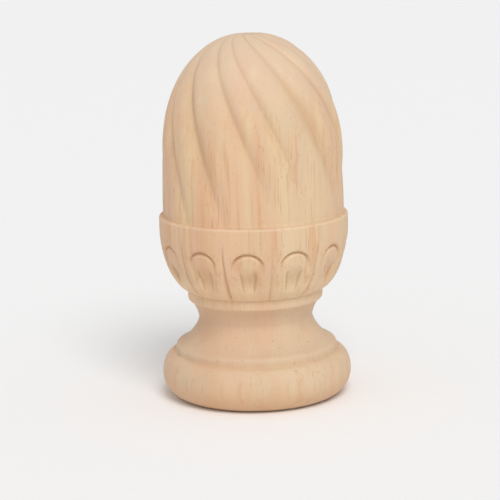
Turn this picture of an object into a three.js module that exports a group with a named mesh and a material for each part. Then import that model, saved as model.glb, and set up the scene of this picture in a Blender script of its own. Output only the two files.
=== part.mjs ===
// Acorn-shaped wooden finial: a turned foot, neck and cup under a dome carved with swirling lobes.
// Millimetres, +Z up. The origin is the centre of the flat underside, on the axis of turning.
// Angles go round +Z in degrees, from the front (-Y) towards +X. Heights are above the underside.
import * as THREE from 'three';

// Foot: a flat underside, a round that swells to its widest, and a shoulder that closes to a notch
const REST_RADIUS = 28;
const FOOT_RADIUS = 36.8;
const FOOT_SWELL_HEIGHT = 9.1;
const FOOT_SHOULDER_HEIGHT = 8.1;
const FOOT_SHOULDER_INSET = 4.4;
const NOTCH_DEPTH = 1;

// Neck: a short upright lip, a hollow down to the waist, a flare and a plain ring
const LIP_HEIGHT = 3.4;
const NECK_RADIUS = 22.1;
const HOLLOW_HEIGHT = 10.4;
const FLARE_HEIGHT = 7;
const RING_RADIUS = 26.2;
const RING_HEIGHT = 3.5;
const RING_LEDGE = 0.5;

// Cup: a bowl, which would close some way inside the ring, opening to an upright rim with a rounded edge
const CUP_RADIUS = 36.5;
const BOWL_HEIGHT = 24.9;
const BOWL_TUCK = 1.9;
const RIM_HEIGHT = 4.9;
const RIM_ROUND = 1;

// Dome: upright walls inside the cup's rim, closing to a small flat disc
const DOME_LEDGE = 1.6;
const WALL_HEIGHT = 20.7;
const CROWN_HEIGHT = 48;
const DISC_RADIUS = 6.4;

// Fullness of the curves: 2 is an ellipse, less is leaner, more is squarer
const ROUND = 2;
const HOLLOW_FULLNESS = 1.5;
const FLARE_FULLNESS = 1.45;
const BOWL_FULLNESS = 1.9;
const CROWN_FULLNESS = 2.15;

// Tongues round the cup: each is an arch cut in under a plain band, deepest over its head, with a rib inside
const TONGUES = 12;
const FIRST_TONGUE = -4.4;
const BAND_HEIGHT = 9.5;
const ARCH_WIDTH = 11.6;
const ARCH_RISE = 4.4;
const ARCH_CUT = 1.3;
const LEG_CUT = 0.3;
const ARCH_FOOT_WIDTH = 7.4;
const ARCH_FOOT_RISE = 2.6;
const RIB_WIDTH = 2;
const RIB_DROP = 0.25;

// Spooned hollow low in each tongue: a round head, a broad floor between steep walls, and an open foot
const SPOON_DROP = 4.6;
const SPOON_RISE = 4;
const SPOON_WIDTH = 8.8;
const SPOON_FOOT_WIDTH = 5.2;
const SPOON_WALL = 1;
const SPOON_DEPTH = 1.4;
const SPOON_DEEPEST_SHARE = 0.5;

// Darts between the tongues: V cuts that widen downwards from a point, some cut shallower than the rest
const DART_RISE = 3.2;
const DART_WIDTH = 3;
const DART_DEPTH = 1.5;
const DART_FULLNESS = 0.6;
const DART_VARIES = 0.35;
const SHALLOW_DART_EVERY = 3;

// Swirling lobes on the dome: ridges between round valleys, shallow low down and deeper above
const LOBES = 13;
const FIRST_GROOVE = 12.6;
const LEAN_AT_RIM = 21;
const LEAN_AT_TOP = 26;
const RIDGE_SHARE = 0.42;
const LOBE_ROUNDNESS = 1.6;
const GROOVE_AT_RIM = 0.6;
const GROOVE_DEEPEST = 2;
const GROOVE_AT_TOP = 0.8;
const DEEPEST_SHARE = 0.5;

// Unevenness of the hand-cut grooves, in waves round the dome: in their spacing, lean and depth
const SPACING_STRAYS = 2.9;
const SPACING_WAVES = 5;
const SPACING_PEAK = 13;
const LEAN_STRAYS = 4.5;
const LEAN_WAVES = 1;
const LEAN_PEAK = -89;
const DEPTH_VARIES = 0.35;
const DEPTH_WAVES = 4;
const DEPTH_PEAK = -16;

// Fineness of the facets
const COLUMNS_PER_TONGUE = 10;
const COLUMNS = TONGUES * COLUMNS_PER_TONGUE;
const LEG_ROWS = 5;
const ARCH_COLUMN_SHARES = [0, 0.36, 0.68, 1];
const HEAD_ROW_SHARES = [0.45, 0.95];
const HEAD_ROW_BEND = 0.94;
const CROWN_ROWS = 7;
const TURN_STEPS = 80;
const CUT_SPREAD = 0.6;

const WOOD = new THREE.MeshStandardMaterial({ color: 0xe3c39c, roughness: 0.72, metalness: 0 });

// Heights of the turned members, each standing on the one below
const notchHeight = FOOT_SWELL_HEIGHT + FOOT_SHOULDER_HEIGHT;
const lipTop = notchHeight + LIP_HEIGHT;
const waistHeight = lipTop + HOLLOW_HEIGHT;
const ringBase = waistHeight + FLARE_HEIGHT;
const ringTop = ringBase + RING_HEIGHT;
const bowlTop = ringTop + BOWL_HEIGHT;
const rimTop = bowlTop + RIM_HEIGHT;
const wallTop = rimTop + WALL_HEIGHT;
const top = wallTop + CROWN_HEIGHT;

const notchRadius = FOOT_RADIUS - FOOT_SHOULDER_INSET - NOTCH_DEPTH;
const domeRadius = CUP_RADIUS - DOME_LEDGE;
const tonguePitch = 360 / TONGUES;
const lobePitch = 360 / LOBES;

// Heights of the carving on the cup
const archCrown = rimTop - BAND_HEIGHT;
const archSpring = archCrown - ARCH_RISE;
const archFoot = ringTop + ARCH_FOOT_RISE;
const dartPoint = archCrown + DART_RISE;
const spoonCrown = archCrown - SPOON_DROP;
const spoonSpring = spoonCrown - SPOON_RISE;

const { smoothstep, lerp, degToRad, radToDeg, clamp } = THREE.MathUtils;

// Share of the way across a quarter curve, for a share of the way along it
function quarter(along, fullness) {
  return (1 - clamp(along, 0, 1) ** fullness) ** (1 / fullness);
}

// Points on a quarter curve after its start: levelFirst leaves the start level and ends upright
function quarterRun(start, end, levelFirst, fullness, count) {
  const points = [];
  for (let step = 1; step <= count; step += 1) {
    const turn = (Math.PI / 2) * (step / count);
    const rising = Math.sin(turn) ** (2 / fullness);
    const falling = 1 - Math.cos(turn) ** (2 / fullness);
    const across = levelFirst ? rising : falling;
    const up = levelFirst ? falling : rising;
    points.push(new THREE.Vector2(lerp(start.x, end.x, across), lerp(start.y, end.y, up)));
  }
  return points;
}

function bowlRadius(height) {
  const fromTop = (bowlTop - height) / BOWL_HEIGHT;
  return lerp(RING_RADIUS - BOWL_TUCK, CUP_RADIUS, quarter(fromTop, BOWL_FULLNESS));
}

// The crown's curve would close above the disc that cuts it off
const crownReach = CROWN_HEIGHT / quarter(DISC_RADIUS / domeRadius, CROWN_FULLNESS);

function domeRadiusAt(height) {
  return domeRadius * quarter((height - wallTop) / crownReach, CROWN_FULLNESS);
}

// Degrees that the grooves turn between the rim and a height, at a lean that grows upwards
function grooveTurn(height) {
  let turned = 0;
  let radius = domeRadius;
  const rise = (height - rimTop) / TURN_STEPS;
  for (let step = 1; step <= TURN_STEPS; step += 1) {
    const at = rimTop + rise * step;
    const nextRadius = domeRadiusAt(at);
    const lean = lerp(LEAN_AT_RIM, LEAN_AT_TOP, (at - rimTop) / (top - rimTop));
    const travelled = Math.hypot(rise, nextRadius - radius);
    turned += (Math.tan(degToRad(lean)) * travelled * 2) / (radius + nextRadius);
    radius = nextRadius;
  }
  return radToDeg(turned);
}

function grooveDepth(height) {
  const share = (height - rimTop) / (top - rimTop);
  const deepening = lerp(GROOVE_AT_RIM, GROOVE_DEEPEST, smoothstep(share, 0, DEEPEST_SHARE));
  return lerp(deepening, GROOVE_AT_TOP, smoothstep(share, DEEPEST_SHARE, 1));
}

// Height of a wave round the dome, from -1 to 1 at its peak
function wave(angle, waves, peak) {
  return Math.cos(degToRad(waves * (angle - peak)));
}

// Depth of a lobe's surface below its ridge, which lies nearer to the groove on its left
function lobeCut(share, atRim, height) {
  const fromRidge = Math.max((RIDGE_SHARE - share) / RIDGE_SHARE, (share - RIDGE_SHARE) / (1 - RIDGE_SHARE));
  const valley = Math.sin((Math.PI / 2) * fromRidge ** LOBE_ROUNDNESS) ** 2;
  return grooveDepth(height) * (1 + DEPTH_VARIES * wave(atRim, DEPTH_WAVES, DEPTH_PEAK)) * valley;
}

// Half the arch's width between its legs, which spread upwards to the springing
function archHalfWidth(height) {
  const share = (height - archFoot) / (archSpring - archFoot);
  return lerp(ARCH_FOOT_WIDTH / 2, ARCH_WIDTH / 2, clamp(share, 0, 1));
}

// How far inside a round-headed outline a point lies, in millimetres, negative outside it
function insideHead(sideways, halfWidth, aboveSpring, rise) {
  return halfWidth * (1 - Math.hypot(sideways / halfWidth, Math.max(aboveSpring, 0) / rise));
}

function spoonCut(sideways, height) {
  const along = clamp((spoonCrown - height) / (spoonCrown - archFoot), 0, 1);
  const halfWidth = lerp(SPOON_WIDTH, SPOON_FOOT_WIDTH, along) / 2;
  const inside = insideHead(sideways, halfWidth, height - spoonSpring, SPOON_RISE);
  const deepening = smoothstep(along, 0, SPOON_DEEPEST_SHARE) - smoothstep(along, SPOON_DEEPEST_SHARE, 1);
  return SPOON_DEPTH * deepening * smoothstep(inside, 0, SPOON_WALL);
}

// Depth of the tongue's carving: a cut edge, a raised rib inside it, and the hollow
function tongueCut(sideways, height) {
  const halfWidth = archHalfWidth(height);
  const inside = insideHead(sideways, halfWidth, height - archSpring, ARCH_RISE);
  const cut = lerp(LEG_CUT, ARCH_CUT, smoothstep(height, archSpring - ARCH_RISE, archCrown));
  const edge = cut * smoothstep(inside, -CUT_SPREAD, 0);
  return lerp(edge, RIB_DROP, smoothstep(inside, 0, RIB_WIDTH)) + spoonCut(sideways, height);
}

function dartCut(sideways, height) {
  const share = clamp((dartPoint - height) / (dartPoint - archFoot), 0, 1);
  const halfWidth = (DART_WIDTH / 2) * share;
  if (sideways >= halfWidth) return 0;
  return DART_DEPTH * share ** DART_FULLNESS * (1 - sideways / halfWidth);
}

// Depth of the carving on the cup at an angle from the middle of the nearest tongue
function cupCut(fromTongue, dartShare, height) {
  const arc = degToRad(1) * bowlRadius(height);
  const fade = smoothstep(height, ringTop, archFoot);
  const dart = dartShare * dartCut((tonguePitch / 2 - fromTongue) * arc, height);
  return fade * Math.max(tongueCut(fromTongue * arc, height), dart);
}

// How deep the dart beside a column on the cup is cut, as a share of the mean
function dartShareAt(column) {
  const dart = Math.floor((column % COLUMNS) / COLUMNS_PER_TONGUE);
  return 1 - DART_VARIES * Math.cos((2 * Math.PI * dart) / SHALLOW_DART_EVERY);
}

// Place on the bowl of a column, counted from the middle of its tongue, in a row of the profile.
// Columns run along the arch's legs, and the rows above its springing bend over its head.
function bowlPlace(fromMiddle, rowHeight) {
  const even = { angle: fromMiddle * (360 / COLUMNS), height: rowHeight };
  if (rowHeight < archFoot || rowHeight > archCrown + CUT_SPREAD) return even;
  const halfWidth = archHalfWidth(rowHeight);
  const outline = ARCH_COLUMN_SHARES.length - 1;
  let sideways = halfWidth + CUT_SPREAD;
  if (fromMiddle <= outline) sideways = halfWidth * ARCH_COLUMN_SHARES[fromMiddle];
  const bend = quarter((HEAD_ROW_BEND * sideways) / (halfWidth + CUT_SPREAD), ROUND);
  const height = archSpring + (rowHeight - archSpring) * (rowHeight > archSpring ? bend : 1);
  if (fromMiddle > outline + 1) return { angle: even.angle, height };
  return { angle: radToDeg(sideways / bowlRadius(height)), height };
}

// Rows of the profile, from the middle of the underside up to the middle of the disc
function profileRows() {
  const rest = new THREE.Vector2(REST_RADIUS, 0);
  const swell = new THREE.Vector2(FOOT_RADIUS, FOOT_SWELL_HEIGHT);
  const shoulder = new THREE.Vector2(FOOT_RADIUS - FOOT_SHOULDER_INSET, notchHeight);
  const lip = new THREE.Vector2(notchRadius, lipTop);
  const waist = new THREE.Vector2(NECK_RADIUS, waistHeight);
  const ringFoot = new THREE.Vector2(RING_RADIUS - RING_LEDGE, ringBase);
  return [
    new THREE.Vector2(0, 0),
    rest,
    ...quarterRun(rest, swell, true, ROUND, 4),
    ...quarterRun(swell, shoulder, false, ROUND, 3),
    new THREE.Vector2(notchRadius, notchHeight),
    lip,
    ...quarterRun(lip, waist, true, HOLLOW_FULLNESS, 4),
    ...quarterRun(waist, ringFoot, false, FLARE_FULLNESS, 3),
    new THREE.Vector2(RING_RADIUS, ringBase + RING_LEDGE),
    new THREE.Vector2(RING_RADIUS, ringTop),
    ...bowlHeights().map((height) => new THREE.Vector2(bowlRadius(height), height)),
    new THREE.Vector2(CUP_RADIUS, rimTop - RIM_ROUND),
    new THREE.Vector2(CUP_RADIUS - RIM_ROUND, rimTop),
    ...domeHeights().map((height) => new THREE.Vector2(domeRadiusAt(height), height)),
    new THREE.Vector2(0, top),
  ];
}

// Rows on the bowl: even down the arches' legs, then close together over their heads
function bowlHeights() {
  const heights = [];
  for (let row = 0; row <= LEG_ROWS; row += 1) {
    heights.push(lerp(archFoot, archSpring, row / LEG_ROWS));
  }
  heights.push(...HEAD_ROW_SHARES.map((share) => archSpring + ARCH_RISE * share));
  heights.push(archCrown + CUT_SPREAD, bowlTop);
  return heights;
}

// Rows on the dome, even on the wall and closer towards the disc
function domeHeights() {
  const heights = [rimTop, rimTop + WALL_HEIGHT / 2];
  for (let row = 0; row <= CROWN_ROWS; row += 1) {
    heights.push(wallTop + CROWN_HEIGHT * Math.sin((Math.PI / 2) * (row / CROWN_ROWS)));
  }
  return heights;
}

// Place on the dome of a column: columns are shared out so that one runs along every groove
function domeColumn(column, height) {
  const grooveColumn = Math.round((FIRST_GROOVE - FIRST_TONGUE) / (360 / COLUMNS));
  const along = (((column - grooveColumn) % COLUMNS) + COLUMNS) % COLUMNS;
  const lobe = Math.floor(((along + 0.5) * LOBES) / COLUMNS);
  const first = Math.round((lobe * COLUMNS) / LOBES);
  const last = Math.round(((lobe + 1) * COLUMNS) / LOBES);
  const share = (along - first) / (last - first);
  const atRim = FIRST_GROOVE + (lobe + share) * lobePitch;
  const climb = (height - rimTop) / (top - rimTop);
  const spacing = SPACING_STRAYS * wave(atRim, SPACING_WAVES, SPACING_PEAK);
  const lean = LEAN_STRAYS * (2 * climb - 1) * wave(atRim, LEAN_WAVES, LEAN_PEAK);
  return { angle: atRim - grooveTurn(height) + spacing + lean, cut: lobeCut(share, atRim, height) };
}

// The lathe gives the turned form, and every vertex of the bowl and the dome moves in by its carving
function carvedGeometry() {
  const rows = profileRows();
  const geometry = new THREE.LatheGeometry(rows, COLUMNS);
  const position = geometry.attributes.position;
  for (let column = 0; column <= COLUMNS; column += 1) {
    for (let row = 0; row < rows.length; row += 1) {
      let { x: reach, y: height } = rows[row];
      let angle = FIRST_TONGUE + (column % COLUMNS) * (360 / COLUMNS);
      if (height > ringTop && height < bowlTop) {
        const inTongue = column % COLUMNS_PER_TONGUE;
        const fromMiddle = Math.min(inTongue, COLUMNS_PER_TONGUE - inTongue);
        const side = inTongue === fromMiddle ? 1 : -1;
        const place = bowlPlace(fromMiddle, height);
        angle += side * (place.angle - fromMiddle * (360 / COLUMNS));
        height = place.height;
        reach = bowlRadius(height) - cupCut(place.angle, dartShareAt(column), height);
      }
      if (height >= rimTop && reach <= domeRadius && reach > 0) {
        const place = domeColumn(column, height);
        angle = place.angle;
        reach -= place.cut;
      }
      const around = degToRad(angle);
      const vertex = column * rows.length + row;
      position.setXYZ(vertex, reach * Math.sin(around), -reach * Math.cos(around), height);
    }
  }
  geometry.computeVertexNormals();
  return geometry;
}

const finial = new THREE.Mesh(carvedGeometry(), WOOD);
finial.name = 'finial';

const group = new THREE.Group();
group.add(finial);

export default group;
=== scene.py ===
import math

import bpy
import numpy as np
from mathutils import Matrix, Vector, noise


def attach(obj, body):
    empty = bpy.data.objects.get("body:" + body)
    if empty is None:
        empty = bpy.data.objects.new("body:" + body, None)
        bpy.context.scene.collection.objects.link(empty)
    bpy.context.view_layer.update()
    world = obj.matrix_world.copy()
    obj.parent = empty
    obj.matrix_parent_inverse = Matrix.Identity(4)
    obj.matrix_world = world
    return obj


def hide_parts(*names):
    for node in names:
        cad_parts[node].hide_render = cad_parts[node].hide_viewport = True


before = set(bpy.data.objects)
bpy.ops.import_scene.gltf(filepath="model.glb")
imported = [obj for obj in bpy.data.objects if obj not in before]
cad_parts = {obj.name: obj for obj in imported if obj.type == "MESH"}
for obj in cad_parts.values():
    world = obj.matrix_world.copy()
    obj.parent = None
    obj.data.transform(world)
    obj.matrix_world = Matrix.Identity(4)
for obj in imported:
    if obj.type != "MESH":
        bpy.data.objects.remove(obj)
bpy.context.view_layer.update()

# Lengths are in millimetres and angles in degrees until a mesh, light or camera is made.
# Angles go round +Z from the front (-Y) towards +X, and heights are above the underside.
MM = 0.001

# Foot
REST_RADIUS = 28
FOOT_RADIUS = 36.8
FOOT_SWELL_HEIGHT = 9.1
FOOT_SHOULDER_HEIGHT = 8.1
FOOT_SHOULDER_INSET = 4.4
NOTCH_DEPTH = 1

# Neck
LIP_HEIGHT = 3.4
NECK_RADIUS = 22.1
HOLLOW_HEIGHT = 10.4
FLARE_HEIGHT = 7
RING_RADIUS = 26.2
RING_HEIGHT = 3.5
RING_LEDGE = 0.5

# Cup
CUP_RADIUS = 36.5
BOWL_HEIGHT = 24.9
BOWL_TUCK = 1.9
RIM_HEIGHT = 4.9
RIM_ROUND = 1

# Dome
DOME_LEDGE = 1.6
WALL_HEIGHT = 20.7
CROWN_HEIGHT = 48
DISC_RADIUS = 6.4

# Fullness of the curves: 2 is an ellipse, less is leaner, more is squarer
ROUND = 2
HOLLOW_FULLNESS = 1.5
FLARE_FULLNESS = 1.45
BOWL_FULLNESS = 1.9
CROWN_FULLNESS = 2.15

# Tongues round the cup
TONGUES = 12
FIRST_TONGUE = -4.4
BAND_HEIGHT = 9.5
ARCH_WIDTH = 11.6
ARCH_RISE = 4.4
ARCH_CUT = 1.3
LEG_CUT = 0.3
ARCH_FOOT_WIDTH = 7.4
ARCH_FOOT_RISE = 2.6
RIB_WIDTH = 2
RIB_DROP = 0.25

# Spooned hollow inside each tongue
SPOON_DROP = 4.6
SPOON_RISE = 4
SPOON_WIDTH = 8.8
SPOON_FOOT_WIDTH = 5.2
SPOON_WALL = 1
SPOON_DEPTH = 1.4
SPOON_DEEPEST_SHARE = 0.5

# Darts between the tongues, some cut shallower than the rest
DART_RISE = 3.2
DART_WIDTH = 3
DART_DEPTH = 1.5
DART_FULLNESS = 0.6
DART_VARIES = 0.35
SHALLOW_DART_EVERY = 3

# Lobes on the dome
LOBES = 13
FIRST_GROOVE = 12.6
LEAN_AT_RIM = 21
LEAN_AT_TOP = 26
RIDGE_SHARE = 0.42
LOBE_ROUNDNESS = 1.6
CREASE_WIDTH = 0.25
CREASE_SHARE = 0.2
GROOVE_AT_RIM = 0.6
GROOVE_DEEPEST = 2
GROOVE_AT_TOP = 0.8
DEEPEST_SHARE = 0.5

# Unevenness of the hand-cut grooves, in waves round the dome: in their spacing, lean and depth
SPACING_STRAYS = 2.9
SPACING_WAVES = 5
SPACING_PEAK = 13
LEAN_STRAYS = 4.5
LEAN_WAVES = 1
LEAN_PEAK = -89
DEPTH_VARIES = 0.35
DEPTH_WAVES = 4
DEPTH_PEAK = -16

# Rounding of the edges, where a corner takes no more than a share of each side
EDGE_SOFTNESS = 0.8
LIP_SOFTNESS = 1.6
CORNER_ROOM = 0.8
CUT_SPREAD = 0.4
RING_FILLET = 1.2
RING_FILLET_BELOW = RING_FILLET / 3

# Columns of the mesh, of which two follow each arch's outline, and the bend of the rows over its head
COLUMNS_PER_TONGUE = 48
COLUMNS = TONGUES * COLUMNS_PER_TONGUE
COLUMN_PITCH = 360 / COLUMNS
COLUMNS_IN_ARCH = 15
HEAD_ROW_BEND = 0.94

# Rows of the mesh on each member
FOOT_ROWS = 10
HOLLOW_ROWS = 16
HOLLOW_ROWS_IN_LIP = 3
FLARE_ROWS = 10
BOWL_FOOT_ROWS = 6
LEG_ROWS = 24
HEAD_ROWS = 16
BAND_ROWS = 6
RIM_ROWS = 4
WALL_ROWS = 12
CROWN_ROWS = 34
CROWN_ROWS_IN_EDGE = 3
CORNER_ROWS = 4
RIM_CORNER_ROWS = 5

# Small steps to the next row of the mesh: on the rest, above the ring and above the rim's ledge
REST_INSET = 2
BOWL_START = 0.3
WALL_START = 0.05

# Steps in which the turn of the grooves is added up, and a length too short to matter
TURN_STEPS = 400
TINY = 1e-9

# Hand sanding: how far the surface wanders, over what length, and from what height
SANDING_WANDER = 0.1
SANDING_LENGTH = 9
SANDING_START = 0.5

# Sharpest bend, per millimetre, that counts as an edge or a hollow, and how often the bends are softened
BEND_LIMIT = 1.2
BEND_SOFTENINGS = 3

# Where in the endless grain pattern this piece of wood was cut
GRAIN_START = (33, 16, 22)

# Colours in the wood, and of painted shade on the neck, in cuts and in hollows, painted light on the ring,
# a painted sheen on the crown and paler edges
TAN = (0.735, 0.515, 0.315)
ROSY = (0.75, 0.46, 0.285)
YELLOW = (0.78, 0.56, 0.325)
GREY = (0.66, 0.50, 0.33)
ORANGE = (0.70, 0.375, 0.18)
BROWN = (0.50, 0.285, 0.145)
DARK_PORE = (0.37, 0.195, 0.09)
PALE_FIBRE = (0.80, 0.61, 0.43)
ROSY_LAYER = (0.80, 0.50, 0.31)
YELLOW_LAYER = (0.78, 0.58, 0.37)
# Painted shade on the neck and lip, where the cup above shades them
NECK_SHADE_UNDER_CUP = (0.60, 0.44, 0.31)
# Painted light on the ring and the foot of the bowl, under the cup's overhang
RING_LIGHT_UNDER_BOWL = (0.92, 0.69, 0.45)
# Painted sheen on the crown, whose top faces the light
CROWN_SHEEN = (0.80, 0.63, 0.47)
DULL_FOOT = (0.63, 0.485, 0.35)
# Painted shade in deep cuts
CUT_SHADE_COLOUR = (0.64, 0.42, 0.24)
# Paler edges: partly sanding wear, partly a painted highlight
EDGE_WEAR_AND_HIGHLIGHT_COLOUR = (0.86, 0.68, 0.49)
# Painted shade in hollows
HOLLOW_SHADE_COLOUR = (0.54, 0.325, 0.175)

# Patterns along the grain: cells in a metre across and along it, the noise where marks start and where
# they are full, and their strength there
BANDS = (
    (ROSY, dict(across=75, along=6, detail=3, start=0.40, full=0.60)),
    (YELLOW, dict(across=110, along=8, detail=3, start=0.48, full=0.64, at_full=0.85)),
    (ROSY, dict(across=210, along=11, detail=3, start=0.52, full=0.68, at_full=0.7)),
    (GREY, dict(across=150, along=16, detail=3, start=0.56, full=0.72, at_full=0.55)),
)
STREAKS = dict(across=360, along=12, detail=1, start=0.54, full=0.70, at_full=0.6)
LINES = dict(across=1500, along=30, roughness=0.6, start=0.54, full=0.70, at_full=0.6)
LINED_BANDS = dict(across=150, along=22, start=0.38, full=0.62, at_start=0.25)
FLECKS = dict(across=650, along=320, start=0.67, full=0.72, at_full=0.7)
PORES = dict(across=2600, along=330, detail=1, start=0.72, full=0.78)
FIBRES = dict(across=3200, along=90)
FIBRE_PALENESS = dict(start=0.35, full=0.7, at_full=0.25)
FIBRE_ROUGHNESS = dict(start=0.3, full=0.7, at_start=0.55, at_full=0.72)

# Heights where the marks differ, and their strength there and elsewhere, where 1 is full
BELOW_CROWN = dict(start=125, full=85)
NECK = dict(middle=25, full=10, reach=14)
FIGURE_ON_CROWN = 0.35
FIGURE_ON_NECK = 0.4
PORES_ON_NECK = 0.5
PORES_ELSEWHERE = 0.22
FLECKS_ELSEWHERE = 0.4

# Layers of the wood, by their distance to the right of the middle
LAYERS = (
    (ROSY_LAYER, dict(middle=-11, full=3, reach=10, share=0.8)),
    (YELLOW_LAYER, dict(middle=19, full=6, reach=13, share=0.6)),
    (ORANGE, dict(middle=-17.5, full=1.5, reach=4.5, share=0.35)),
)

# Lighter and darker heights: some round a middle, some from a start up or down to where they are full.
# Painted shade on the neck under the cup, painted light on the ring under the bowl and a painted sheen on
# the crown; the foot is duller and more orange towards the underside.
ZONES = (
    # painted shade on the neck under the cup
    (NECK_SHADE_UNDER_CUP, dict(middle=29, full=6, reach=12, share=0.38)),
    # painted light on the ring and the foot of the bowl
    (RING_LIGHT_UNDER_BOWL, dict(middle=43.5, full=3, reach=8, share=0.3)),
)
SHADES = (
    # painted sheen on the crown
    (CROWN_SHEEN, dict(start=100, full=138, at_full=0.5)),
    (DULL_FOOT, dict(start=27, full=20, at_full=0.3)),
    (ORANGE, dict(start=12, full=4, at_full=0.35)),
)

# Painted shade by the depth of a cut, and tones by the bend of the surface, which is above 0 on edges:
# paler edges, partly sanding wear and partly a painted highlight, and painted shade in hollows and in the
# sharp cuts round the tongues
CUT_SHADE = dict(start=0.2, full=2, at_full=0.34)
EDGE_WEAR_AND_HIGHLIGHT = dict(start=0.2, full=1.1, at_full=0.45)
HOLLOW_SHADE = dict(start=-0.06, full=-0.6, at_full=0.22)
# painted shade in the sharp cuts round the tongues
SHARP_CUT_SHADE = dict(start=-0.2, full=-0.5, at_full=0.33)
TONGUE_HEIGHTS = dict(middle=54, full=10, reach=14)

# Finish of the wood: its faint shine and fuzz, and the height and strength of its relief
SHINE = 0.4
FUZZ = 0.07
FUZZ_ROUGHNESS = 0.5
RELIEF_HEIGHT = 0.2
FIBRE_RELIEF = 0.35
PORE_RELIEF = -0.3

# Floor
FLOOR_REACH = 6000
FLOOR_WHITE = 0.98
FLOOR_ROUGHNESS = 0.9

# Lights: one wide one over the camera, a little to its right, and an even white all round.
# The strength of each is how bright it alone makes a white face turned to it.
KEY_AZIMUTH = 15
KEY_ELEVATION = 50
KEY_ANGLE = 30
KEY_STRENGTH = 0.465
ROOM_STRENGTH = 0.56

# Camera, as it stood for the photograph
CAMERA_DISTANCE = 721.7
CAMERA_HEIGHT = 203.25
CAMERA_SIDE = -1.66
CAMERA_PITCH = 11.5
CAMERA_ROLL = -1.4
CAMERA_LENS = 136.84

# Places of the colours among the sockets of a mix node
MIX_INPUTS = slice(6, 8)
MIX_OUTPUT = 2

# Heights of the turned members, each standing on the one below
NOTCH_HEIGHT = FOOT_SWELL_HEIGHT + FOOT_SHOULDER_HEIGHT
LIP_TOP = NOTCH_HEIGHT + LIP_HEIGHT
WAIST_HEIGHT = LIP_TOP + HOLLOW_HEIGHT
RING_BASE = WAIST_HEIGHT + FLARE_HEIGHT
RING_TOP = RING_BASE + RING_HEIGHT
BOWL_TOP = RING_TOP + BOWL_HEIGHT
RIM_TOP = BOWL_TOP + RIM_HEIGHT
WALL_TOP = RIM_TOP + WALL_HEIGHT
TOP = WALL_TOP + CROWN_HEIGHT

NOTCH_RADIUS = FOOT_RADIUS - FOOT_SHOULDER_INSET - NOTCH_DEPTH
DOME_RADIUS = CUP_RADIUS - DOME_LEDGE
TONGUE_PITCH = 360 / TONGUES
LOBE_PITCH = 360 / LOBES

ARCH_CROWN = RIM_TOP - BAND_HEIGHT
ARCH_SPRING = ARCH_CROWN - ARCH_RISE
ARCH_FOOT = RING_TOP + ARCH_FOOT_RISE
HEAD_TOP = ARCH_CROWN + CUT_SPREAD
DART_POINT = ARCH_CROWN + DART_RISE
SPOON_CROWN = ARCH_CROWN - SPOON_DROP
SPOON_SPRING = SPOON_CROWN - SPOON_RISE


def mix(start, end, share):
    return start + (end - start) * share


def smooth(value, low, high):
    share = np.clip((value - low) / (high - low), 0, 1)
    return share * share * (3 - 2 * share)


def quarter(along, fullness):
    """Share of the way across a quarter curve, for a share of the way along it."""
    return (1 - np.clip(along, 0, 1) ** fullness) ** (1 / fullness)


def quarter_run(start, end, level_first, fullness, count):
    """Points on a quarter curve after its start: level_first leaves the start level and ends upright."""
    points = []
    for step in range(1, count + 1):
        turn = math.pi / 2 * step / count
        rising = math.sin(turn) ** (2 / fullness)
        falling = 1 - max(math.cos(turn), 0) ** (2 / fullness)
        across, up = (rising, falling) if level_first else (falling, rising)
        points.append((mix(start[0], end[0], across), mix(start[1], end[1], up)))
    return points


def corner(before, at, after, size, count=CORNER_ROWS):
    """Points that round a corner, starting and ending a given size away from it where there is room."""
    before, at, after = (np.array(point, float) for point in (before, at, after))
    sides = (before - at, after - at)
    start, end = (at + side * min(size / np.linalg.norm(side), CORNER_ROOM) for side in sides)
    shares = [step / count for step in range(count + 1)]
    curve = [start * (1 - s) ** 2 + at * 2 * s * (1 - s) + end * s**2 for s in shares]
    return [tuple(point) for point in curve]


def bowl_radius(height):
    closing = quarter((BOWL_TOP - height) / BOWL_HEIGHT, BOWL_FULLNESS)
    bowl = mix(RING_RADIUS - BOWL_TUCK, CUP_RADIUS, closing)
    return mix(RING_RADIUS, bowl, smooth(height, RING_TOP - RING_FILLET_BELOW, RING_TOP + RING_FILLET))


# Height of the whole quarter curve that the crown follows, which the disc cuts off
CROWN_REACH = CROWN_HEIGHT / quarter(DISC_RADIUS / DOME_RADIUS, CROWN_FULLNESS)


def dome_radius(height):
    return DOME_RADIUS * quarter((height - WALL_TOP) / CROWN_REACH, CROWN_FULLNESS)


def groove_turn(height):
    """Degrees that the grooves turn between the rim and a height, at a lean that grows upwards."""
    heights = np.linspace(RIM_TOP, height, TURN_STEPS + 1)
    radii = dome_radius(heights)
    lean = np.radians(mix(LEAN_AT_RIM, LEAN_AT_TOP, (heights[1:] - RIM_TOP) / (TOP - RIM_TOP)))
    travelled = np.hypot(np.diff(heights), np.diff(radii))
    return math.degrees(np.sum(np.tan(lean) * travelled * 2 / (radii[1:] + radii[:-1])))


def groove_depth(height):
    share = (height - RIM_TOP) / (TOP - RIM_TOP)
    deepening = mix(GROOVE_AT_RIM, GROOVE_DEEPEST, smooth(share, 0, DEEPEST_SHARE))
    return mix(deepening, GROOVE_AT_TOP, smooth(share, DEEPEST_SHARE, 1))


def arch_half_width(height):
    share = np.clip((height - ARCH_FOOT) / (ARCH_SPRING - ARCH_FOOT), 0, 1)
    return mix(ARCH_FOOT_WIDTH / 2, ARCH_WIDTH / 2, share)


def inside_head(sideways, half, above_spring, rise):
    """How far inside a round-headed outline a point lies, negative outside it."""
    return half * (1 - np.hypot(sideways / half, np.maximum(above_spring, 0) / rise))


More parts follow.
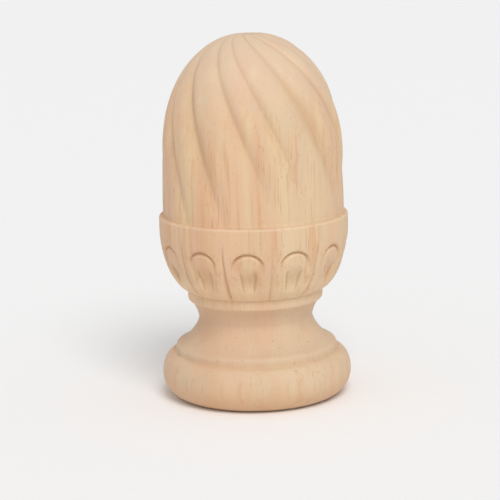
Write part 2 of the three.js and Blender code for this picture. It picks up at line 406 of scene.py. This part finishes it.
def spoon_cut(sideways, height):
    """Depth of the hollow in a tongue, which has a round head of its own and runs out at the foot."""
    along = np.clip((SPOON_CROWN - height) / (SPOON_CROWN - ARCH_FOOT), 0, 1)
    half = mix(SPOON_WIDTH, SPOON_FOOT_WIDTH, along) / 2
    inside = inside_head(sideways, half, height - SPOON_SPRING, SPOON_RISE)
    deepening = smooth(along, 0, SPOON_DEEPEST_SHARE) - smooth(along, SPOON_DEEPEST_SHARE, 1)
    return SPOON_DEPTH * deepening * smooth(inside, 0, SPOON_WALL)


def tongue_cut(sideways, height):
    """Depth of a tongue's carving: a cut edge, deepest over its head, a rib inside it and the hollow."""
    inside = inside_head(sideways, arch_half_width(height), height - ARCH_SPRING, ARCH_RISE)
    cut = mix(LEG_CUT, ARCH_CUT, smooth(height, ARCH_SPRING - ARCH_RISE, ARCH_CROWN))
    edge = cut * smooth(inside, -CUT_SPREAD, 0)
    return mix(edge, RIB_DROP, smooth(inside, 0, RIB_WIDTH)) + spoon_cut(sideways, height)


def dart_cut(sideways, height):
    share = np.clip((DART_POINT - height) / (DART_POINT - ARCH_FOOT), 0, 1)
    half = np.maximum(DART_WIDTH / 2 * share, TINY)
    return DART_DEPTH * share**DART_FULLNESS * np.clip(1 - sideways / half, 0, 1)


def cup_cut(from_tongue, dart_share, height):
    """Depth of the cup's carving at an angle from a tongue's middle. It fades out towards the ring."""
    arc = math.radians(1) * bowl_radius(height)
    fade = smooth(height, RING_TOP, ARCH_FOOT)
    dart = dart_share * dart_cut((TONGUE_PITCH / 2 - from_tongue) * arc, height)
    return fade * np.maximum(tongue_cut(from_tongue * arc, height), dart)


def bowl_row(row_height, columns):
    """Angles, heights, radii and cuts of a row on the bowl, bent over the heads of the arches."""
    in_tongue = columns % COLUMNS_PER_TONGUE
    from_middle = np.minimum(in_tongue, COLUMNS_PER_TONGUE - in_tongue)
    side = np.where(in_tongue == from_middle, 1, -1)
    half = arch_half_width(min(row_height, ARCH_SPRING))
    height = np.full(len(columns), float(row_height))
    if row_height > ARCH_SPRING:
        across = np.clip(from_middle / COLUMNS_IN_ARCH * half / (half + CUT_SPREAD), 0, 1)
        bent = quarter(HEAD_ROW_BEND * across, ROUND)
        height = ARCH_SPRING + (min(row_height, HEAD_TOP) - ARCH_SPRING) * bent
    above = np.clip((row_height - HEAD_TOP) / (BOWL_TOP - HEAD_TOP), 0, 1)
    height = mix(height, BOWL_TOP, above)
    outline = np.degrees(half / bowl_radius(height))
    outside = (from_middle - COLUMNS_IN_ARCH) / (COLUMNS_PER_TONGUE / 2 - COLUMNS_IN_ARCH)
    fitted = np.where(
        from_middle <= COLUMNS_IN_ARCH,
        outline * from_middle / COLUMNS_IN_ARCH,
        mix(outline, TONGUE_PITCH / 2, outside),
    )
    even = from_middle * COLUMN_PITCH
    fit = smooth(row_height, RING_TOP, ARCH_FOOT) * (1 - smooth(above, 0, 1))
    from_tongue = mix(even, fitted, fit)
    angle = FIRST_TONGUE + columns * COLUMN_PITCH + side * (from_tongue - even)
    tongue = columns // COLUMNS_PER_TONGUE
    dart_share = 1 - DART_VARIES * np.cos(2 * np.pi * tongue / SHALLOW_DART_EVERY)
    cut = cup_cut(from_tongue, dart_share, height)
    return angle, height, bowl_radius(height) - cut, cut


def wave(angle, waves, peak):
    """Height of a wave round the dome, from -1 to 1 at its peak."""
    return np.cos(np.radians(waves * (angle - peak)))


def lobe_cut(share, at_rim, height):
    """Depth below a lobe's ridge, which is nearer to its left groove. Both grooves end in a fine crease."""
    left, right = (RIDGE_SHARE - share) / RIDGE_SHARE, (share - RIDGE_SHARE) / (1 - RIDGE_SHARE)
    from_ridge = np.maximum(left, right)
    varied = 1 + DEPTH_VARIES * wave(at_rim, DEPTH_WAVES, DEPTH_PEAK)
    valley = np.sin(np.pi / 2 * from_ridge**LOBE_ROUNDNESS) ** 2
    crease = np.clip((from_ridge - 1) / CREASE_WIDTH + 1, 0, 1)
    return varied * groove_depth(height) * mix(valley, crease, CREASE_SHARE)


def dome_row(height, radius, columns):
    """Angles, heights, radii and cuts of a row on the dome, where one column runs along every groove."""
    groove_column = round((FIRST_GROOVE - FIRST_TONGUE) / COLUMN_PITCH)
    along = (columns - groove_column) % COLUMNS
    lobe = np.floor((along + 0.5) * LOBES / COLUMNS)
    first = np.round(lobe * COLUMNS / LOBES)
    last = np.round((lobe + 1) * COLUMNS / LOBES)
    share = (along - first) / (last - first)
    at_rim = FIRST_GROOVE + (lobe + share) * LOBE_PITCH
    climb = (height - RIM_TOP) / (TOP - RIM_TOP)
    spacing = SPACING_STRAYS * wave(at_rim, SPACING_WAVES, SPACING_PEAK)
    lean = LEAN_STRAYS * (2 * climb - 1) * wave(at_rim, LEAN_WAVES, LEAN_PEAK)
    angle = at_rim - groove_turn(height) + spacing + lean
    cut = lobe_cut(share, at_rim, height)
    return angle, np.full(len(columns), float(height)), radius - cut, cut


def plain_row(height, radius, columns):
    """Angles, heights, radii and cuts of a row that is only turned."""
    angle = FIRST_TONGUE + columns * COLUMN_PITCH
    heights, radii, cuts = (np.full(len(columns), float(value)) for value in (height, radius, 0))
    return angle, heights, radii, cuts


def turned_rows():
    """Radius and height of every row from the rest to the ring."""
    rest = (REST_RADIUS, 0)
    swell = (FOOT_RADIUS, FOOT_SWELL_HEIGHT)
    shoulder = (FOOT_RADIUS - FOOT_SHOULDER_INSET, NOTCH_HEIGHT)
    notch = (NOTCH_RADIUS, NOTCH_HEIGHT)
    lip = (NOTCH_RADIUS, LIP_TOP)
    waist = (NECK_RADIUS, WAIST_HEIGHT)
    ring_foot = (RING_RADIUS - RING_LEDGE, RING_BASE)
    ring_edge = (RING_RADIUS, RING_BASE + RING_LEDGE)
    ring_top = (RING_RADIUS, RING_TOP)
    hollow = quarter_run(lip, waist, True, HOLLOW_FULLNESS, HOLLOW_ROWS)[HOLLOW_ROWS_IN_LIP:]
    return (
        [(REST_RADIUS - REST_INSET, 0), rest]
        + quarter_run(rest, swell, True, ROUND, FOOT_ROWS)
        + quarter_run(swell, shoulder, False, ROUND, FOOT_ROWS)[:-1]
        + corner(shoulder, notch, lip, LIP_SOFTNESS)
        + corner(notch, lip, hollow[0], LIP_SOFTNESS)
        + hollow
        + quarter_run(waist, ring_foot, False, FLARE_FULLNESS, FLARE_ROWS)
        + corner(ring_foot, ring_edge, ring_top, EDGE_SOFTNESS)
        + [ring_top]
    )


def bowl_row_heights():
    runs = (
        (RING_TOP + BOWL_START, ARCH_FOOT, BOWL_FOOT_ROWS),
        (ARCH_FOOT, ARCH_SPRING, LEG_ROWS),
        (ARCH_SPRING, HEAD_TOP, HEAD_ROWS),
        (HEAD_TOP, BOWL_TOP, BAND_ROWS),
    )
    return [height for low, high, count in runs for height in np.linspace(low, high, count, endpoint=False)]


def rim_rows():
    """Radius and height of every row on the rim and its rounded edge."""
    edge = (CUP_RADIUS, RIM_TOP)
    ledge = (DOME_RADIUS, RIM_TOP)
    heights = np.linspace(BOWL_TOP, RIM_TOP - RIM_ROUND, RIM_ROWS, endpoint=False)
    below = [(CUP_RADIUS, height) for height in heights]
    return below + corner(below[0], edge, ledge, RIM_ROUND, RIM_CORNER_ROWS)


def dome_rows():
    """Radius and height of every row from the foot of the dome's wall to the disc, by its ridges."""
    wall = list(np.linspace(RIM_TOP, WALL_TOP, WALL_ROWS, endpoint=False))
    wall[0] = RIM_TOP + WALL_START
    turns = [math.pi / 2 * row / CROWN_ROWS for row in range(CROWN_ROWS + 1)]
    crown = [WALL_TOP + CROWN_HEIGHT * math.sin(turn) for turn in turns]
    rows = [(dome_radius(height), height) for height in wall + crown]
    edge = rows[-1]
    rows = rows[:-CROWN_ROWS_IN_EDGE]
    return rows + corner(rows[-1], edge, (0, TOP), EDGE_SOFTNESS) + [(DISC_RADIUS / 2, TOP)]


def carved_rows():
    columns = np.arange(COLUMNS)
    for radius, height in turned_rows():
        yield plain_row(height, radius, columns)
    for height in bowl_row_heights():
        yield bowl_row(height, columns)
    for radius, height in rim_rows():
        yield plain_row(height, radius, columns)
    for radius, height in dome_rows():
        yield dome_row(height, radius, columns)


def curvature(rings, closed):
    """How sharply lines of points bend outwards, per millimetre: round the rings if closed, else up."""
    if closed:
        before, after = np.roll(rings, 1, axis=1), np.roll(rings, -1, axis=1)
    else:
        before = np.concatenate([rings[:1], rings[:-1]])
        after = np.concatenate([rings[1:], rings[-1:]])
    back, ahead = rings - before, after - rings
    back_length = np.linalg.norm(back, axis=2, keepdims=True) + TINY
    ahead_length = np.linalg.norm(ahead, axis=2, keepdims=True) + TINY
    bend = 2 * (ahead / ahead_length - back / back_length) / (back_length + ahead_length)
    outward = np.array(rings)
    outward[:, :, 2] = 0
    outward /= np.linalg.norm(outward, axis=2, keepdims=True)
    return -np.sum(bend * outward, axis=2)


def soften(values, times):
    """Averages each value with its neighbours up, down and round."""
    for _ in range(times):
        up = np.concatenate([values[1:], values[-1:]])
        down = np.concatenate([values[:1], values[:-1]])
        round_about = np.roll(values, 1, axis=1) + np.roll(values, -1, axis=1)
        values = (2 * values + up + down + round_about) / 6
    return values


def bend_map(rings):
    """Bend of the surface beside a plain cup's, per millimetre: above 0 on edges and below 0 in hollows."""
    bend = curvature(rings, closed=True) + curvature(rings, closed=False) - 1 / CUP_RADIUS
    return soften(np.clip(bend, -BEND_LIMIT, BEND_LIMIT), BEND_SOFTENINGS)


def sand(points):
    """Moves every point above the underside's edge inwards, as far as hand sanding wanders there."""
    for point in points:
        if point[2] > SANDING_START:
            outward = Vector((point[0], point[1], 0)).normalized()
            wander = (noise.noise(Vector(point) / SANDING_LENGTH) - 1) / 2 * SANDING_WANDER
            point[:2] += wander * np.array(outward[:2])


def skin_faces(row_count):
    """Faces between the rows, and fans at both ends to the two centres, which follow the rows' points."""
    faces = []
    for row in range(row_count - 1):
        low, high = row * COLUMNS, (row + 1) * COLUMNS
        for column in range(COLUMNS):
            right = (column + 1) % COLUMNS
            faces.append((low + column, low + right, high + right, high + column))
    last = (row_count - 1) * COLUMNS
    base_centre, top_centre = row_count * COLUMNS, row_count * COLUMNS + 1
    for column in range(COLUMNS):
        right = (column + 1) % COLUMNS
        faces.append((base_centre, right, column))
        faces.append((top_centre, last + column, last + right))
    return faces


def add_object(name, data):
    thing = bpy.data.objects.new(name, data)
    bpy.context.scene.collection.objects.link(thing)
    return thing


def carved_finial(material):
    """The whole finial as one skin, which keeps the bend of its surface and the depth of its cuts for the
    material's painted shade and paler edges.
    """
    rings, cuts = [], []
    for angle, height, radius, cut in carved_rows():
        around = np.radians(angle)
        rings.append(np.stack([radius * np.sin(around), -radius * np.cos(around), height], axis=1))
        cuts.append(cut)
    points = np.concatenate(rings)
    sand(points)
    points = np.vstack([points, [0, 0, 0], [0, 0, TOP]])
    mesh = bpy.data.meshes.new("carved_finial")
    mesh.from_pydata([tuple(point) for point in points * MM], [], skin_faces(len(rings)))
    mesh.materials.append(material)
    # The bend sets painted shade in hollows and paler edges, the cut sets painted shade in cuts
    for name, values in (("surface_bend", bend_map(np.stack(rings))), ("cut", np.stack(cuts))):
        with_centres = np.append(values.ravel(), [0, 0])
        mesh.attributes.new(name, "FLOAT", "POINT").data.foreach_set("value", with_centres)
    mesh.shade_smooth()
    mesh.update()
    return add_object("carved_finial", mesh)


class Nodes:
    """Short calls for building a material's nodes."""

    def __init__(self, name):
        self.material = bpy.data.materials.new(name)
        self.material.use_nodes = True
        self.tree = self.material.node_tree
        self.shader = self.tree.nodes["Principled BSDF"]
        self.place = self.tree.nodes.new("ShaderNodeTexCoord").outputs["Object"]

    def feed(self, socket, value):
        """Links another node's output to a socket, or gives the socket a plain value."""
        if hasattr(value, "links"):
            self.tree.links.new(value, socket)
        else:
            socket.default_value = value

    def math(self, operation, first, second=0.0):
        node = self.tree.nodes.new("ShaderNodeMath")
        node.operation = operation
        self.feed(node.inputs[0], first)
        self.feed(node.inputs[1], second)
        return node.outputs[0]

    def times(self, first, second):
        return self.math("MULTIPLY", first, second)

    def along(self, axis):
        """The place along an axis, in millimetres."""
        node = self.tree.nodes.new("ShaderNodeSeparateXYZ")
        self.feed(node.inputs[0], self.place)
        return self.times(node.outputs[axis], 1 / MM)

    def attribute(self, name):
        node = self.tree.nodes.new("ShaderNodeAttribute")
        node.attribute_name = name
        return node.outputs["Fac"]

    def noise(self, across, along, detail=2, roughness=0.5):
        """Noise drawn out along the grain, with so many cells in a metre across and along it."""
        stretched = self.tree.nodes.new("ShaderNodeMapping")
        self.feed(stretched.inputs["Vector"], self.place)
        stretched.inputs["Location"].default_value = GRAIN_START
        stretched.inputs["Scale"].default_value = (across, across, along)
        node = self.tree.nodes.new("ShaderNodeTexNoise")
        self.feed(node.inputs["Vector"], stretched.outputs[0])
        node.inputs["Scale"].default_value = 1
        node.inputs["Detail"].default_value = detail
        node.inputs["Roughness"].default_value = roughness
        return node.outputs["Fac"]

    def ramp(self, value, start, full, at_start=0.0, at_full=1.0):
        """Changes smoothly as a value goes from its start to where it is full, and stays level beyond."""
        node = self.tree.nodes.new("ShaderNodeMapRange")
        node.interpolation_type = "SMOOTHSTEP"
        self.feed(node.inputs["Value"], value)
        node.inputs["From Min"].default_value = start
        node.inputs["From Max"].default_value = full
        node.inputs["To Min"].default_value = at_start
        node.inputs["To Max"].default_value = at_full
        return node.outputs["Result"]

    def pattern(self, start, full, at_start=0.0, at_full=1.0, **grain):
        return self.ramp(self.noise(**grain), start, full, at_start, at_full)

    def near(self, place, middle, full, reach, share=1.0):
        """A share within a full distance of the middle, falling to 0 at its reach."""
        away = self.math("ABSOLUTE", self.math("SUBTRACT", place, middle))
        return self.ramp(away, reach, full, 0, share)

    def where(self, mask, outside, inside):
        """One strength outside a mask and another inside it."""
        return self.ramp(mask, 0, 1, outside, inside)

    def blend(self, share, first, second):
        node = self.tree.nodes.new("ShaderNodeMix")
        node.data_type = "RGBA"
        self.feed(node.inputs["Factor"], share)
        for socket, value in zip(node.inputs[MIX_INPUTS], (first, second)):
            self.feed(socket, value if hasattr(value, "links") else (*value, 1))
        return node.outputs[MIX_OUTPUT]

    def bump(self, height, strength, normal=None):
        node = self.tree.nodes.new("ShaderNodeBump")
        node.inputs["Strength"].default_value = strength
        node.inputs["Distance"].default_value = RELIEF_HEIGHT * MM
        self.feed(node.inputs["Height"], height)
        if normal is not None:
            self.feed(node.inputs["Normal"], normal)
        return node.outputs["Normal"]


def banded(wood, below_crown):
    """Broad bands of different tones, and layers that fade out on the crown."""
    colour = TAN
    for tone, band in BANDS:
        colour = wood.blend(wood.pattern(**band), colour, tone)
    side = wood.along("X")
    for tone, layer in LAYERS:
        colour = wood.blend(wood.times(wood.near(side, **layer), below_crown), colour, tone)
    return colour


def streaked(wood, colour, below_crown, neck):
    """Orange streaks and brown lines, both fainter on the crown and the neck."""
    figure = wood.times(wood.where(below_crown, FIGURE_ON_CROWN, 1), wood.where(neck, 1, FIGURE_ON_NECK))
    colour = wood.blend(wood.times(wood.pattern(**STREAKS), figure), colour, ORANGE)
    lines = wood.times(wood.pattern(**LINES), wood.pattern(**LINED_BANDS))
    return wood.blend(wood.times(lines, figure), colour, BROWN)


def speckled(wood, colour, fibres, pores, neck):
    """Pale fibres, dark pores and brown flecks, the last two stronger on the neck."""
    colour = wood.blend(wood.ramp(fibres, **FIBRE_PALENESS), colour, PALE_FIBRE)
    pores = wood.times(pores, wood.where(neck, PORES_ELSEWHERE, PORES_ON_NECK))
    colour = wood.blend(pores, colour, DARK_PORE)
    flecks = wood.times(wood.pattern(**FLECKS), wood.where(neck, FLECKS_ELSEWHERE, 1))
    return wood.blend(flecks, colour, BROWN)


def shaded(wood, colour, height):
    """Lighter and darker by height: painted shade on the neck under the cup, painted light on the ring, a
    painted sheen on the crown, and a duller foot that is more orange towards the underside.
    """
    for tone, zone in ZONES:
        colour = wood.blend(wood.near(height, **zone), colour, tone)
    for tone, shade in SHADES:
        colour = wood.blend(wood.ramp(height, **shade), colour, tone)
    return colour


def shade_and_edges(wood, colour, height):
    """Painted shade in cuts and hollows, above all in the sharp ones round the tongues, and paler edges,
    partly sanding wear and partly a painted highlight.
    """
    surface_bend = wood.attribute("surface_bend")
    # painted shade in deep cuts
    colour = wood.blend(wood.ramp(wood.attribute("cut"), **CUT_SHADE), colour, CUT_SHADE_COLOUR)
    # paler edges: partly sanding wear, partly a painted highlight
    colour = wood.blend(wood.ramp(surface_bend, **EDGE_WEAR_AND_HIGHLIGHT), colour, EDGE_WEAR_AND_HIGHLIGHT_COLOUR)
    # painted shade in hollows
    colour = wood.blend(wood.ramp(surface_bend, **HOLLOW_SHADE), colour, HOLLOW_SHADE_COLOUR)
    # painted shade in the sharp cuts round the tongues, in brown
    sharp = wood.times(wood.ramp(surface_bend, **SHARP_CUT_SHADE), wood.near(height, **TONGUE_HEIGHTS))
    return wood.blend(sharp, colour, BROWN)


def bare_wood():
    """Sanded softwood, with all its marks upright, as the grain runs."""
    wood = Nodes("bare_wood")
    height = wood.along("Z")
    below_crown, neck = wood.ramp(height, **BELOW_CROWN), wood.near(height, **NECK)
    fibres, pores = wood.noise(**FIBRES), wood.pattern(**PORES)
    colour = streaked(wood, banded(wood, below_crown), below_crown, neck)
    colour = speckled(wood, colour, fibres, pores, neck)
    colour = shade_and_edges(wood, shaded(wood, colour, height), height)
    wood.feed(wood.shader.inputs["Base Color"], colour)
    wood.feed(wood.shader.inputs["Roughness"], wood.ramp(fibres, **FIBRE_ROUGHNESS))
    wood.feed(wood.shader.inputs["Specular IOR Level"], SHINE)
    wood.feed(wood.shader.inputs["Sheen Weight"], FUZZ)
    wood.feed(wood.shader.inputs["Sheen Roughness"], FUZZ_ROUGHNESS)
    grain = wood.bump(fibres, FIBRE_RELIEF)
    wood.feed(wood.shader.inputs["Normal"], wood.bump(pores, PORE_RELIEF, grain))
    return wood.material


def pale_floor():
    paper = Nodes("pale_floor")
    paper.feed(paper.shader.inputs["Base Color"], (FLOOR_WHITE, FLOOR_WHITE, FLOOR_WHITE, 1))
    paper.feed(paper.shader.inputs["Roughness"], FLOOR_ROUGHNESS)
    reach = FLOOR_REACH * MM
    corners = [(-reach, -reach, 0), (reach, -reach, 0), (reach, reach, 0), (-reach, reach, 0)]
    mesh = bpy.data.meshes.new("floor")
    mesh.from_pydata(corners, [], [(0, 1, 2, 3)])
    mesh.materials.append(paper.material)
    floor = add_object("floor", mesh)


def key_light():
    light = bpy.data.lights.new("key", "SUN")
    light.energy = KEY_STRENGTH * math.pi
    light.angle = math.radians(KEY_ANGLE)
    lamp = add_object("key", light)
    lamp.rotation_euler = (math.radians(90 - KEY_ELEVATION), 0, math.radians(KEY_AZIMUTH))


def studio():
    world = bpy.data.worlds.new("studio")
    world.use_nodes = True
    world.node_tree.nodes["Background"].inputs["Color"].default_value = (1, 1, 1, 1)
    world.node_tree.nodes["Background"].inputs["Strength"].default_value = ROOM_STRENGTH
    bpy.context.scene.world = world
    key_light()
    bpy.context.scene.view_settings.view_transform = "Standard"


def photo_camera():
    lens = bpy.data.cameras.new("camera")
    lens.lens = CAMERA_LENS
    camera = add_object("camera", lens)
    camera.location = Vector((CAMERA_SIDE, -CAMERA_DISTANCE, CAMERA_HEIGHT)) * MM
    camera.rotation_mode = "ZYX"
    camera.rotation_euler = (math.radians(90 - CAMERA_PITCH), 0, math.radians(CAMERA_ROLL))
    bpy.context.scene.camera = camera


photo_camera()
studio()
pale_floor()
finial = carved_finial(bare_wood())
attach(finial, "root")
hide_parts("finial")

bpy.context.view_layer.update()
